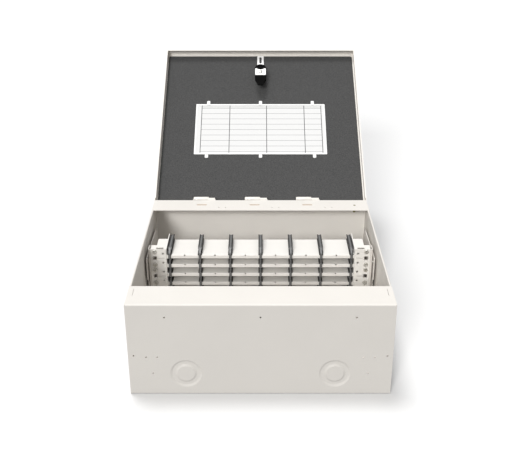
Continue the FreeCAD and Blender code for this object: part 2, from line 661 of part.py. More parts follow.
def lock_cam():
    """Tapered cam, stored unlatched with its tip towards the hinges."""
    axis_y = door_y(LOCK_U)
    tip_y = axis_y + CAM_LENGTH
    outline = [V(-CAM_ROOT_HALF, axis_y, CAM_Z), V(CAM_ROOT_HALF, axis_y, CAM_Z),
               V(CAM_ROOT_HALF, axis_y + CAM_LENGTH * 0.45, CAM_Z), V(CAM_TIP_HALF, tip_y, CAM_Z),
               V(-CAM_TIP_HALF, tip_y, CAM_Z), V(-CAM_ROOT_HALF, axis_y + CAM_LENGTH * 0.45, CAM_Z)]
    arm = prism(outline, V(0, 0, CAM_SHEET))
    arm = arm.makeFillet(2.5, upright_edges(arm, AXIS_Z, lambda p: p.y > tip_y - 0.1))
    root = cylinder(CAM_ROOT_HALF, CAM_SHEET, V(0, axis_y, CAM_Z))
    square = CAM_ROOT_HALF / 4
    hole = box(-square, square, axis_y - square, axis_y + square, CAM_Z - 1, CAM_Z + CAM_SHEET + 1)
    return opened(union([arm, root]).cut(hole))


def cam_plate():
    """Bright plate that clamps the cam to the plug."""
    width, length, thick = CAM_PLATE
    axis_y = door_y(LOCK_U)
    plate = box(-width / 2, width / 2, axis_y - length / 2, axis_y + length / 2, CAM_Z - thick, CAM_Z)
    plate = plate.makeFillet(1.5, upright_edges(plate, AXIS_Z, lambda p: True))
    hole = cylinder(SCREW_R, 4 * thick, lock_axis(CAM_Z - 2 * thick))
    notch_y = length / 2 + LOCK_BOSS_R - CAM_PLATE_NOTCH
    notch = cylinder(LOCK_BOSS_R, 4 * thick, lock_axis(CAM_Z - 2 * thick) - AXIS_Y * notch_y)
    return opened(plate.cut([hole, notch]))


def cam_screw():
    seat = lock_axis(CAM_Z - CAM_PLATE[2])
    return opened(pan_head(seat, V(0, 0, -1), 10.0))


# ---- rack rails and brackets ----
def unit_heights(offset):
    return [CHASSIS_TOP - unit * RACK_UNIT - offset for unit in range(RACK_UNITS)]


def screw_heights():
    return [z for offset in RACK_HOLE_OFFSETS for z in unit_heights(offset)]


def square_cut(x, z, y0, y1):
    half = RACK_SQUARE / 2
    return box(x - half, x + half, y0, y1, z - half, z + half)


def rack_rail_right():
    """Angle rail with the rack hole pattern, standing behind the chassis ear."""
    half = RAIL_SHEET / 2
    path = [(RAIL_INNER, RAIL_Y + half), (RAIL_OUTER - half, RAIL_Y + half),
            (RAIL_OUTER - half, RAIL_Y + RAIL_DEPTH)]
    height = CHASSIS_TOP - CHASSIS_SHEET - CHASSIS_Z
    rail = folded(path, RAIL_SHEET, BEND, in_xy(CHASSIS_Z), V(0, 0, height))
    cuts = [square_cut(RACK_HOLE_HALF, z, RAIL_Y - 1, RAIL_Y + 4) for z in unit_heights(RACK_SQUARE_OFFSET)]
    for z in screw_heights():
        cuts.append(cylinder(SCREW_R, 3 * RAIL_SHEET, V(RACK_HOLE_HALF, RAIL_Y - 1, z), AXIS_Y))
    for y, z in rail_screw_spots():
        cuts.append(cylinder(SCREW_R, 3 * RAIL_SHEET, V(RAIL_OUTER - 2 * RAIL_SHEET, y, z), AXIS_X))
    return rail.cut(cuts)


def rail_screw_spots():
    y = RAIL_Y + RAIL_DEPTH * 0.6
    return [(y, BRACKET_NOTCH_Z * share) for share in (0.25, 0.75, 1.3)]


def bracket_foot_spots():
    x = BRACKET_OUTER - BRACKET_FOOT + 6
    return [(x, BRACKET_FRONT + BRACKET_SCREW_Y[0]), (x, BRACKET_BACK - BRACKET_SCREW_Y[1])]


def rack_bracket_right():
    """Side bracket: upright plate with a sloping top and a foot on the back panel."""
    half = BRACKET_SHEET / 2
    path = [(BRACKET_OUTER - BRACKET_FOOT, SHEET + half), (BRACKET_OUTER - half, SHEET + half),
            (BRACKET_OUTER - half, BRACKET_TOP[0])]
    plate = folded(path, BRACKET_SHEET, BEND, in_xz(BRACKET_FRONT), V(0, BRACKET_BACK - BRACKET_FRONT, 0))
    wide = BRACKET_FOOT + 2
    x0 = BRACKET_OUTER - wide
    slope = [V(x0, BRACKET_FRONT + 20, BRACKET_TOP[0]), V(x0, BRACKET_BACK + 1, BRACKET_TOP[1]),
             V(x0, BRACKET_BACK + 1, BRACKET_TOP[0] + 1), V(x0, BRACKET_FRONT + 20, BRACKET_TOP[0] + 1)]
    cuts = [prism(slope, V(wide + 2, 0, 0))]
    cuts.append(box(x0, BRACKET_OUTER + 1, BRACKET_FRONT - 1, RAIL_Y + 4, SHEET - 1, BRACKET_NOTCH_Z))
    for y, z in rail_screw_spots():
        cuts.append(cylinder(SCREW_R + SCREW_CLEARANCE, 20, V(RAIL_OUTER, y, z), AXIS_X))
    for x, y in bracket_foot_spots():
        cuts.append(cylinder(SCREW_R + SCREW_CLEARANCE, 10, V(x, y, 0)))
    window = box(x0, BRACKET_OUTER + 1, BRACKET_FRONT + BRACKET_WINDOW_Y[0], BRACKET_BACK - BRACKET_WINDOW_Y[1],
                 *BRACKET_WINDOW_Z)
    window = window.makeFillet(8.0, upright_edges(window, AXIS_X, lambda p: True))
    cuts.append(window)
    return plate.cut(cuts)


def rail_spacers():
    """Spacer and screw joining each rail to its bracket; the screw head is inside."""
    group = []
    for y, z in rail_screw_spots():
        spacer = cylinder(HEAD_R, BRACKET_OUTER - BRACKET_SHEET - RAIL_OUTER, V(RAIL_OUTER, y, z), AXIS_X)
        screw = pan_head(V(RAIL_OUTER - RAIL_SHEET, y, z), V(-1, 0, 0), 8.0)
        group.append(spacer.cut(cylinder(SCREW_R, 20, V(RAIL_OUTER - 5, y, z), AXIS_X)))
        group.append(screw)
    return Part.makeCompound(group + [mirror_x(s) for s in group])


def bracket_screws():
    """Screws that hold the bracket feet to the back panel."""
    group = []
    for x, y in bracket_foot_spots():
        group.append(pan_head(V(x, y, SHEET + BRACKET_SHEET), AXIS_Z, SHEET + BRACKET_SHEET))
    return Part.makeCompound(group + [mirror_x(s) for s in group])


def rack_nuts():
    """Square nuts behind the rails at every screw."""
    y0 = RAIL_Y + RAIL_SHEET
    group = []
    for z in screw_heights():
        nut = box(RACK_HOLE_HALF - NUT_HALF, RACK_HOLE_HALF + NUT_HALF, y0, y0 + NUT_HEIGHT,
                  z - NUT_HALF, z + NUT_HALF)
        hole = cylinder(SCREW_R, 3 * NUT_HEIGHT, V(RACK_HOLE_HALF, y0 - NUT_HEIGHT, z), AXIS_Y)
        group.append(nut.cut(hole))
    return Part.makeCompound(group + [mirror_x(s) for s in group])


def rack_screws():
    """Pan-head screws through the ears into the rails."""
    length = CHASSIS_SHEET + RAIL_SHEET + NUT_HEIGHT
    spots = [V(RACK_HOLE_HALF, CHASSIS_FRONT, z) for z in screw_heights()]
    group = [pan_head(spot, V(0, -1, 0), length) for spot in spots]
    return Part.makeCompound(group + [mirror_x(s) for s in group])


# ---- tray chassis ----
def chassis_side_right():
    """Chassis side with its rack ear and the flanges folded back from the ear's top."""
    half = CHASSIS_SHEET / 2
    path = [(EAR_HALF, CHASSIS_FRONT + half), (CHASSIS_HALF - half, CHASSIS_FRONT + half),
            (CHASSIS_HALF - half, CHASSIS_FRONT + CHASSIS_DEPTH)]
    side = folded(path, CHASSIS_SHEET, BEND, in_xy(CHASSIS_Z), V(0, 0, CHASSIS_TOP - CHASSIS_Z))
    low = CHASSIS_TOP - CHASSIS_SHEET
    flange_x = CHASSIS_HALF + TOP_FLANGE[0]
    wide = box(CHASSIS_HALF - half, flange_x, CHASSIS_FRONT + half, CHASSIS_FRONT + TOP_FLANGE[1],
               low, CHASSIS_TOP)
    ear_top = box(flange_x, EAR_HALF, CHASSIS_FRONT + half, CHASSIS_FRONT + EAR_FLANGE_DEPTH, low, CHASSIS_TOP)
    relief = box(CHASSIS_HALF + RELIEF_X[0], CHASSIS_HALF + RELIEF_X[1], CHASSIS_FRONT + CHASSIS_SHEET,
                 CHASSIS_FRONT + RELIEF_DEPTH, low - 1, CHASSIS_TOP + 1)
    shape = union([side, wide, ear_top]).cut(relief)
    cuts = []
    for z in screw_heights():
        cuts.append(cylinder(SCREW_R + SCREW_CLEARANCE, 4, V(RACK_HOLE_HALF, CHASSIS_FRONT - 1, z), AXIS_Y))
    for z in unit_heights(RACK_SQUARE_OFFSET):
        cuts.append(square_cut(RACK_HOLE_HALF, z, CHASSIS_FRONT - 1, RAIL_Y))
        cuts.append(box(CHASSIS_HALF + EAR_SLIT[0], CHASSIS_HALF + EAR_SLIT[1], CHASSIS_FRONT - 1,
                        CHASSIS_FRONT + 4, z - EAR_SLIT[2] / 2, z + EAR_SLIT[2] / 2))
    for tray in range(TRAY_COUNT):
        z = CHASSIS_TOP - (tray + 0.5) * TRAY_PITCH
        cuts.append(cylinder(EAR_HOLE[1], 4, V(CHASSIS_HALF + EAR_HOLE[0], CHASSIS_FRONT - 1, z), AXIS_Y))
    for y, z in tray_rivet_spots():
        cuts.append(cylinder(RIVET_R, 4, V(CHASSIS_INNER - 1, y, z), AXIS_X))
    return shape.cut(cuts)


def tray_top(number):
    """Height of a tray's upper surface, trays counted from the rim down."""
    return CHASSIS_TOP - number * TRAY_PITCH + TRAY_LIP


def tray_rivet_spots():
    spots = []
    for number in range(1, TRAY_COUNT + 1):
        z = tray_top(number) - TRAY_SHEET - TRAY_TAB / 2
        spots += [(CHASSIS_FRONT + 20, z), (CHASSIS_FRONT + CHASSIS_DEPTH - 16, z)]
    return spots


def tray(number):
    """Folded tray with a front lip, a rear lip and riveted end tabs."""
    top = tray_top(number)
    half = TRAY_SHEET / 2
    front = CHASSIS_FRONT + half
    back = CHASSIS_FRONT + CHASSIS_DEPTH - half
    path = [(front, top - TRAY_LIP), (front, top - half), (back, top - half), (back, top - TRAY_REAR_LIP)]
    body = folded(path, TRAY_SHEET, 0.4, in_yz(-CHASSIS_INNER), V(2 * CHASSIS_INNER, 0, 0))
    low = top - TRAY_SHEET - TRAY_TAB
    tab = box(CHASSIS_INNER - TRAY_SHEET, CHASSIS_INNER, CHASSIS_FRONT + 10, CHASSIS_FRONT + CHASSIS_DEPTH - 8,
              low, top - half)
    cuts = []
    for y, z in tray_rivet_spots():
        if low < z < top:
            cuts.append(cylinder(RIVET_R, 2 * CHASSIS_INNER + 10, V(-CHASSIS_INNER - 5, y, z), AXIS_X))
    for bay in range(BAYS):
        x = BAY_PITCH * (bay - BAYS / 2 + 0.5)
        cuts.append(box(x - 1.5, x + 1.5, front - 2, front + 3, top - 3.2, top + 1))
    return union([body] + both_sides(tab)).cut(cuts)


def guide(x, top):
    """Moulded bay guide: flanged rail with a sloped nose that hooks over the lip."""
    front = CHASSIS_FRONT
    back = CHASSIS_FRONT + CHASSIS_DEPTH
    half = GUIDE_WIDTH / 2
    web = GUIDE_WEB / 2
    upper = GUIDE_HEIGHT - GUIDE_FLANGE
    channel = GUIDE_CHANNEL[0] / 2
    floor = GUIDE_HEIGHT - GUIDE_CHANNEL[1]
    section = [(-half, 0), (half, 0), (half, GUIDE_FLANGE), (web, GUIDE_FLANGE), (web, upper), (half, upper),
               (half, GUIDE_HEIGHT), (channel, GUIDE_HEIGHT), (channel, floor), (-channel, floor),
               (-channel, GUIDE_HEIGHT), (-half, GUIDE_HEIGHT), (-half, upper), (-web, upper),
               (-web, GUIDE_FLANGE), (-half, GUIDE_FLANGE)]
    rail = prism([V(x + u, front, top + v) for u, v in section], V(0, back - front, 0))
    slope = [V(x - GUIDE_WIDTH, front - 1, top + GUIDE_FLANGE + 2), V(x - GUIDE_WIDTH, front + GUIDE_NOSE_RUN,
             top + GUIDE_HEIGHT + 0.1), V(x - GUIDE_WIDTH, front - 1, top + GUIDE_HEIGHT + 0.1)]
    rail = rail.cut(prism(slope, V(2 * GUIDE_WIDTH, 0, 0)))
    nose = box(x - GUIDE_NOSE_WIDTH / 2, x + GUIDE_NOSE_WIDTH / 2, front - GUIDE_NOSE, front,
               top - TRAY_LIP, top + GUIDE_FLANGE + 2)
    return rail.fuse(nose)


def tray_guides(number):
    top = tray_top(number)
    return Part.makeCompound([guide(x, top) for x in GUIDE_X])


def tray_rivets():
    """Rivets through the chassis sides and the trays' end tabs."""
    grip = CHASSIS_SHEET + TRAY_SHEET
    group = [rivet(V(CHASSIS_HALF, y, z), AXIS_X, grip) for y, z in tray_rivet_spots()]
    return Part.makeCompound(group + [mirror_x(s) for s in group])


# ---- ground ----
def ground_stud():
    """Threaded stud standing on the far flange."""
    base = V(GROUND_X, FAR_Y - GROUND_INSET, BOX_DEPTH - GROUND_LENGTH)
    return cylinder(GROUND_R, GROUND_LENGTH, base)


def build():
    nodes = {"box_wrap": box_wrap()}
    side = side_wall_right()
    rail = rack_rail_right()
    bracket = rack_bracket_right()
    chassis = chassis_side_right()
    for name, right in (("side_wall", side), ("rack_rail", rail), ("rack_bracket", bracket),
                        ("chassis_side", chassis)):
        nodes[name + "_right"] = right
        nodes[name + "_left"] = mirror_x(right)
    for number, x in enumerate(HINGE_X, 1):
        nodes["hinge_box_leaf_%d" % number] = box_leaf(x)
        nodes["hinge_pin_%d" % number] = hinge_pin(x)
        nodes["hinge_door_leaf_%d" % number] = door_leaf(x)
    nodes["rail_spacers_and_screws"] = rail_spacers()
    nodes["bracket_screws"] = bracket_screws()
    nodes["rack_nuts"] = rack_nuts()
    nodes["rack_screws"] = rack_screws()
    nodes["ground_stud"] = ground_stud()
    for number in range(1, TRAY_COUNT + 1):
        nodes["tray_%d" % number] = tray(number)
        nodes["tray_guides_%d" % number] = tray_guides(number)
    nodes["tray_rivets"] = tray_rivets()
    nodes["door_panel"] = door_panel()
    nodes["door_foam_liner"] = foam_liner()
    nodes["hinge_rivets"] = door_rivets()
    nodes["chart_frame"] = chart_frame()
    nodes["chart_card"] = chart_card()
    nodes["chart_clips"] = chart_clips()
    nodes["lock_housing"] = lock_housing()
    nodes["lock_retaining_clip"] = lock_clip()
    nodes["lock_face"] = lock_face()
    nodes["lock_plug"] = lock_plug()
    nodes["lock_cam"] = lock_cam()
    nodes["cam_plate"] = cam_plate()
    nodes["cam_screw"] = cam_screw()
    return nodes


def main():
    os.makedirs("parts", exist_ok=True)
    for name, shape in build().items():
        if not shape.isValid():
            print("not valid:", name)
        shape.exportStep("parts/%s.step" % name)
        print(name, len(shape.Solids), "solids")


main()
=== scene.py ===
import json
import math

import bpy
from mathutils import Matrix, Vector, noise


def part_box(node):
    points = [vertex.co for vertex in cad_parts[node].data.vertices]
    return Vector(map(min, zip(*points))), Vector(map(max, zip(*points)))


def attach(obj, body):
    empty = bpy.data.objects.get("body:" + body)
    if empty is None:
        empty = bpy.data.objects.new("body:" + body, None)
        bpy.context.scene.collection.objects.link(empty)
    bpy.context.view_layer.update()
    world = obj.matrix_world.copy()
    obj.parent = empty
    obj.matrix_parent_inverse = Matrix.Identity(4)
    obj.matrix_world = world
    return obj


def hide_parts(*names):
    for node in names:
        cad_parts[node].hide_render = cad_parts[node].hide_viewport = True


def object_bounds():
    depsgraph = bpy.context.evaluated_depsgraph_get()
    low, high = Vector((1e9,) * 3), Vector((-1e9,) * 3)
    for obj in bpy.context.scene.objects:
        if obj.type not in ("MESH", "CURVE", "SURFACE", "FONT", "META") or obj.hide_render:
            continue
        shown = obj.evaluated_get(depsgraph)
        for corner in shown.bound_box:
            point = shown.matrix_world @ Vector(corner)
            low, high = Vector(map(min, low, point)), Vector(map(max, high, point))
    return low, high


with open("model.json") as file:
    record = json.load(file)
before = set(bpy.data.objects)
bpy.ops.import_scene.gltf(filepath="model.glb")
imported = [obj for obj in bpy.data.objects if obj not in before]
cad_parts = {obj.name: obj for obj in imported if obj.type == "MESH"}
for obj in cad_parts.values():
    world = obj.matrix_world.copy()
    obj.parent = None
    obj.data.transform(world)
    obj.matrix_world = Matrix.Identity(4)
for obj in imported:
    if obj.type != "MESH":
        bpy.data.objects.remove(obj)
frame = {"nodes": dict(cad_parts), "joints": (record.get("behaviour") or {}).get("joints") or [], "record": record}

# Looks of the wall-mount fiber termination box.  Lengths are metres in the row frame:
# origin at the centre of the wall holes on the back face, +Z out of the wall, +Y
# towards the hinges.  The door is stored open, so door pieces are laid out closed and
# turned with opened().

MM = 0.001
CAD_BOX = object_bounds()
NODES = frame["nodes"]
JOINTS = {joint["name"]: joint for joint in frame["joints"]}
HINGE = Vector(JOINTS["door_hinge"]["pos_m"])
SWING = math.radians(JOINTS["door_hinge"]["range_deg"][1])

# ---- camera and light ----
CAMERA_PLACE = (0.0, -1.581, 0.990)
CAMERA_DOWN_DEG = 24.98
CAMERA_LENS = 57.5
CAMERA_SHIFT_X = -0.0078
FLOOR_SIZE = 60.0
FLOOR_DROP = 0.3 * MM
FLOOR_SHADE = (0.86, 0.86, 0.86, 1)
SKY_LOW = (0.23, 0.23, 0.23, 1)
SKY_HIGH = (0.46, 0.46, 0.46, 1)
SKY_RISE = 0.25               # upward part of a direction at which SKY_HIGH is reached
# azimuth and elevation in degrees, irradiance, angular size in degrees, colour
KEY_LIGHT = (-148, 75, 1.75, 20, (1, 1, 1))
FRONT_LIGHT = (-18, 27, 1.85, 16, (1.0, 0.993, 0.98))

# ---- foam liner ----
FOAM_CELL = 6 * MM            # spacing of the liner's mesh
FOAM_EDGE = 0.9 * MM          # how far the cut edges round over
FOAM_WAVE = 0.12 * MM
FOAM_CORNER = 3 * MM
FOAM_CUT_MARGIN = 0.8 * MM
FOAM_WAVES_PER_METRE = 22.0
BEVEL_ANGLE_DEG = 50          # edges sharper than this are rounded

# ---- chart print ----
CHART_COLUMNS = (-155, -81, 16, 115, 160)      # millimetres from the middle
CHART_ROWS = 9
CHART_ROW_PITCH = 17.9 * MM
CHART_HEADER = 11.5 * MM
COLUMN_INK = 1.5 * MM
ROW_INK = 0.9 * MM
INK_LIFT = 0.06 * MM

# ---- hinge leaves and guides ----
LEAF_SHADE_Z = 202.2 * MM     # the leaf's colour turns to a painted tan shade inside the flange's thickness
LEAF_SHADE_RUN = 1.0 * MM     # height given to the colour ramp, whose middle third blends
GUIDE_PITCH = 66.7 * MM       # spacing of the guides, one of them on the centre line
GUIDE_HIGHLIGHT_HALF = 2.2 * MM         # half the width of the painted highlight, a paler strip along each guide
GUIDE_FADE = 0.3 * MM
GUIDE_SHIFT = 10.5            # pitches added so that X stays positive and a guide is mid-cycle

# ---- fasteners ----
SCREW_HEAD_R = 4.9 * MM
SCREW_HEAD_H = 3.2 * MM
SCREW_SHANK_R = 2.9 * MM
RECESS_ARM = 2.9 * MM
RECESS_HALF = 0.62 * MM
RECESS_DEPTH = 1.7 * MM
RECESS_SIDE_RUN = 0.35 * MM   # width of the recess's sloping sides and ends
RECESS_END_RUN = 0.5 * MM
THREAD_PITCH = 1.0 * MM
THREAD_DEPTH = 0.45 * MM
HEAD_FLAT = 0.86              # share of the head's radius that its face takes
HEAD_DOME = 0.14              # fall of the face's curve out to the full radius, by head height
HEAD_CROWN = 0.8964           # height of the face's edge, as a share of the head's height
HEAD_SIDE = 0.35              # share of the head's height below the rounded edge
HEAD_EDGE_TURNS = (0.35, 0.7, 1.0)   # rings of the rounded edge, as shares of a quarter turn
RINGS_PER_TURN = 5            # rings of vertices along one turn of a screw's thread
STUD_RINGS_PER_TURN = 6
STUD_TOP = 0.8                # radius of the stud's welded end and its tip, as shares of its own
STUD_TIP = 0.7
SPIN_STEP = 0.7               # radians from one screw's recess to the next one's
CAM_SCREW_SPIN = 0.6


# ---- frame helpers ----
def opened(point):
    """A closed-door point, turned to the stored, open place."""
    return HINGE + Matrix.Rotation(-SWING, 3, "X") @ (Vector(point) - HINGE)


def closed(point):
    return HINGE + Matrix.Rotation(SWING, 3, "X") @ (Vector(point) - HINGE)


def span(points):
    low = Vector([min(p[i] for p in points) for i in range(3)])
    high = Vector([max(p[i] for p in points) for i in range(3)])
    return low, high


def closed_box(node):
    """Corners of a door node as it lies when the door is closed."""
    return span([closed(v.co) for v in NODES[node].data.vertices])


def solids(node):
    """Corners of each separate solid in a node, in the order of their low corners."""
    mesh = NODES[node].data
    spots = {}
    root = []
    at = []
    for vertex in mesh.vertices:
        key = tuple(round(c * 1e6) for c in vertex.co)
        at.append(spots.setdefault(key, len(root)))
        if at[-1] == len(root):
            root.append(len(root))

    def find(i):
        while root[i] != i:
            root[i] = root[root[i]]
            i = root[i]
        return i

    for polygon in mesh.polygons:
        first = find(at[polygon.vertices[0]])
        for index in polygon.vertices[1:]:
            root[find(at[index])] = first
    groups = {}
    for i, vertex in enumerate(mesh.vertices):
        groups.setdefault(find(at[i]), []).append(vertex.co)
    return sorted((span(group) for group in groups.values()), key=lambda pair: tuple(pair[0]))


def piece(name, verts, faces, body, coat, smooth=True):
    """A new mesh object that rides on a body and wears a material."""
    mesh = bpy.data.meshes.new(name)
    mesh.from_pydata([tuple(v) for v in verts], [], faces)
    mesh.validate()
    mesh.update()
    mesh.polygons.foreach_set("use_smooth", [smooth] * len(mesh.polygons))
    thing = bpy.data.objects.new(name, mesh)
    bpy.context.scene.collection.objects.link(thing)
    thing.data.materials.append(coat)
    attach(thing, body)
    return thing


# ---- materials ----
def shade(red, green, blue):
    """A display colour, 0 to 255, as the linear colour that a shader takes."""
    out = []
    for value in (red, green, blue):
        part = value / 255
        out.append(part / 12.92 if part <= 0.04045 else ((part + 0.055) / 1.055) ** 2.4)
    return (*out, 1.0)


class Coat:
    """A Principled material with noise patterns in the object's own coordinates."""

    def __init__(self, name, colour, rough, metal=0.0, specular=0.5):
        self.material = bpy.data.materials.new(name)
        self.material.use_nodes = True
        self.tree = self.material.node_tree
        self.shader = self.tree.nodes["Principled BSDF"]
        self.set("Base Color", colour)
        self.set("Roughness", rough)
        self.set("Metallic", metal)
        self.set("Specular IOR Level", specular)
        self.place = self.tree.nodes.new("ShaderNodeTexCoord")
        self.height = None

    def set(self, socket, value):
        self.shader.inputs[socket].default_value = value

    def link(self, source, target):
        self.tree.links.new(source, target)

    def noise(self, per_metre, detail=2.0, stretch=None):
        """Noise value with a number of cells per metre, stretched along axes if asked."""
        node = self.tree.nodes.new("ShaderNodeTexNoise")
        node.inputs["Scale"].default_value = per_metre
        node.inputs["Detail"].default_value = detail
        source = self.place.outputs["Object"]
        if stretch:
            mapping = self.tree.nodes.new("ShaderNodeMapping")
            mapping.inputs["Scale"].default_value = stretch
            self.link(source, mapping.inputs["Vector"])
            source = mapping.outputs["Vector"]
        self.link(source, node.inputs["Vector"])
        return node.outputs["Fac"]

    def cells(self, per_metre):
        node = self.tree.nodes.new("ShaderNodeTexVoronoi")
        node.inputs["Scale"].default_value = per_metre
        self.link(self.place.outputs["Object"], node.inputs["Vector"])
        return node.outputs["Distance"]

    def tint(self, pattern, first, second, low=0.35, high=0.65):
        """Colour that wanders between two shades with a pattern."""
        ramp = self.tree.nodes.new("ShaderNodeValToRGB")
        ramp.color_ramp.elements[0].position = low
        ramp.color_ramp.elements[0].color = first
        ramp.color_ramp.elements[1].position = high
        ramp.color_ramp.elements[1].color = second
        self.link(pattern, ramp.inputs["Fac"])
        self.link(ramp.outputs["Color"], self.shader.inputs["Base Color"])

    def math(self, operation, first, second):
        """Result of a math node on a pattern and a number."""
        node = self.tree.nodes.new("ShaderNodeMath")
        node.operation = operation
        self.link(first, node.inputs[0])
        node.inputs[1].default_value = second
        return node.outputs["Value"]

    def roughness(self, pattern, low, high):
        """Roughness that follows a pattern's middle range."""
        node = self.tree.nodes.new("ShaderNodeMapRange")
        node.inputs["From Min"].default_value = 0.3
        node.inputs["From Max"].default_value = 0.7
        node.inputs["To Min"].default_value = low
        node.inputs["To Max"].default_value = high
        self.link(pattern, node.inputs["Value"])
        self.link(node.outputs["Result"], self.shader.inputs["Roughness"])

    def bump(self, pattern, depth, strength=1.0):
        """Fine relief of a depth in metres, added over what is there."""
        node = self.tree.nodes.new("ShaderNodeBump")
        node.inputs["Distance"].default_value = depth
        node.inputs["Strength"].default_value = strength
        self.link(pattern, node.inputs["Height"])
        if self.height:
            self.link(self.height, node.inputs["Normal"])
        self.height = node.outputs["Normal"]
        self.link(self.height, self.shader.inputs["Normal"])


def powder(name, colour, drift):
    """Powder coat: fine orange peel, faint mottling and a soft satin sheen."""
    coat = Coat(name, colour, 0.42, specular=0.35)
    darker = tuple(c * (1 - drift) for c in colour[:3]) + (1.0,)
    coat.tint(coat.noise(14, 4), darker, colour)
    coat.roughness(coat.noise(90, 3), 0.36, 0.50)
    coat.bump(coat.noise(650, 2), 0.09 * MM, 0.35)
    coat.bump(coat.noise(2600, 1), 0.02 * MM, 0.4)
    return coat.material


def leaf_shaded_tail_coat(paint):
    """Hinge leaf: coat colour where it fills the flange, and a painted shade in tan below it, under the flange."""
    coat = Coat("leaf_shaded_tail_coat", paint, 0.42, specular=0.35)
    split = coat.tree.nodes.new("ShaderNodeSeparateXYZ")
    coat.link(coat.place.outputs["Object"], split.inputs["Vector"])
    above = coat.math("SUBTRACT", split.outputs["Z"], LEAF_SHADE_Z - LEAF_SHADE_RUN / 2)
    # painted shade: the tail under the flange is coloured tan to stand in for the shade there
    coat.tint(coat.math("DIVIDE", above, LEAF_SHADE_RUN), shade(186, 164, 140), paint)
    coat.bump(coat.noise(650, 2), 0.09 * MM, 0.35)
    return coat.material


def plated(name, colour, warm, rough):
    """Zinc or nickel plate: faint colour drift, fine drawn scratches."""
    coat = Coat(name, colour, rough, metal=1.0)
    coat.tint(coat.noise(160, 3), colour, warm)
    coat.roughness(coat.noise(420, 4), rough - 0.08, rough + 0.12)
    coat.bump(coat.noise(900, 3, (1, 1, 8)), 0.02 * MM, 0.5)
    return coat.material


def moulded(name, colour, lighter, rough, specular=0.5):
    """Injection-moulded plastic: fine spark texture and slight flow marks."""
    coat = Coat(name, colour, rough, specular=specular)
    coat.tint(coat.noise(60, 3), colour, lighter)
    coat.roughness(coat.noise(300, 3), rough - 0.06, rough + 0.08)
    coat.bump(coat.noise(1800, 2), 0.03 * MM, 0.5)
    return coat.material


def guide_plastic():
    """Black moulded plastic with a painted highlight: paler along the middle of each guide."""
    coat = Coat("guide_black", shade(18, 18, 18), 0.36, specular=0.3)
    split = coat.tree.nodes.new("ShaderNodeSeparateXYZ")
    coat.link(coat.place.outputs["Object"], split.inputs["Vector"])
    shifted = coat.math("ADD", split.outputs["X"], GUIDE_PITCH * GUIDE_SHIFT)
    middle = coat.math("MODULO", shifted, GUIDE_PITCH)
    aside = coat.math("ABSOLUTE", coat.math("SUBTRACT", middle, GUIDE_PITCH / 2), 0.0)
    # the paler middle strip is a painted highlight on the guide's top
    coat.tint(aside, shade(122, 122, 122), shade(18, 18, 18), GUIDE_HIGHLIGHT_HALF, GUIDE_HIGHLIGHT_HALF + GUIDE_FADE)
    coat.roughness(coat.noise(300, 3), 0.32, 0.46)
    coat.bump(coat.noise(1800, 2), 0.03 * MM, 0.5)
    return coat.material


def foam():
    """Closed-cell foam: open-cut cells, mottled charcoal, no gloss."""
    coat = Coat("foam", shade(76, 76, 76), 0.95, specular=0.08)
    coat.tint(coat.noise(480, 4), shade(68, 68, 68), shade(86, 86, 86))
    coat.bump(coat.cells(850), 0.35 * MM, 0.55)
    coat.bump(coat.noise(120, 3), 0.25 * MM, 0.35)
    return coat.material


def card():
    """Printed card: paper fibres and a slightly uneven sheet."""
    coat = Coat("card_paper", shade(222, 222, 222), 0.75, specular=0.2)
    coat.tint(coat.noise(1400, 3), shade(219, 219, 218), shade(225, 225, 225))
    coat.bump(coat.noise(1200, 3), 0.02 * MM, 0.4)
    return coat.material


def ink(name, colour):
    """Printed ink with slightly broken coverage."""
    coat = Coat(name, colour, 0.6, specular=0.2)
    lighter = tuple(c * 1.25 for c in colour[:3]) + (1.0,)
    coat.tint(coat.noise(1500, 3), colour, lighter)
    return coat.material


def all_coats():
    shell = shade(231, 227, 221)
    return {
        "powder_coat": powder("powder_coat", shell, 0.015),
        "leaf_shaded_tail_coat": leaf_shaded_tail_coat(shell),
        "bracket_coat": powder("bracket_coat", shade(226, 221, 215), 0.03),
        "chassis_coat": powder("chassis_coat", shade(238, 235, 230), 0.015),
        "guide_black": guide_plastic(),
        "zinc": plated("zinc", shade(214, 213, 209), shade(206, 203, 194), 0.40),
        "stud_brass": plated("stud_brass", shade(150, 146, 100), shade(138, 132, 88), 0.36),
        "pin_steel": plated("pin_steel", shade(180, 180, 180), shade(190, 190, 186), 0.28),
        "foam": foam(),
        "frame_white": moulded("frame_white", shade(228, 228, 227), shade(233, 233, 232), 0.42),
        "card_paper": card(),
        "lock_black": moulded("lock_black", shade(5, 5, 5), shade(9, 9, 9), 0.85, 0.08),
        "clip_white": moulded("clip_white", shade(240, 240, 239), shade(246, 246, 245), 0.45),
        "lock_chrome": plated("lock_chrome", shade(214, 214, 212), shade(222, 220, 214), 0.16),
        "chart_ink": ink("chart_ink", shade(48, 48, 50)),
        "chart_rule": ink("chart_rule", shade(140, 140, 142)),
        "chart_header": ink("chart_header", shade(200, 200, 199)),
    }


COATS = all_coats()


def dress_nodes():
    """Give every CAD node the procedural material of its slot."""
    for part in frame["record"]["subparts"]:
        node = NODES[part["node"]]
        node.data.materials.clear()
        # box hinge leaves get the coat whose tail under the flange carries a painted tan shade
        shaded_tail = part["node"].startswith("hinge_box_leaf")
        node.data.materials.append(COATS["leaf_shaded_tail_coat" if shaded_tail else part["material_slot"]])


# ---- foam liner ----
def steps(low, high, cuts, pitch):
    """Grid lines between two ends that pass through every cut's edge."""
    marks = sorted({low, high} | {c for c in cuts if low < c < high})
    lines = []
    for start, end in zip(marks, marks[1:]):
        count = max(1, round((end - start) / pitch))
        lines += [start + (end - start) * i / count for i in range(count)]
    return lines + [high]


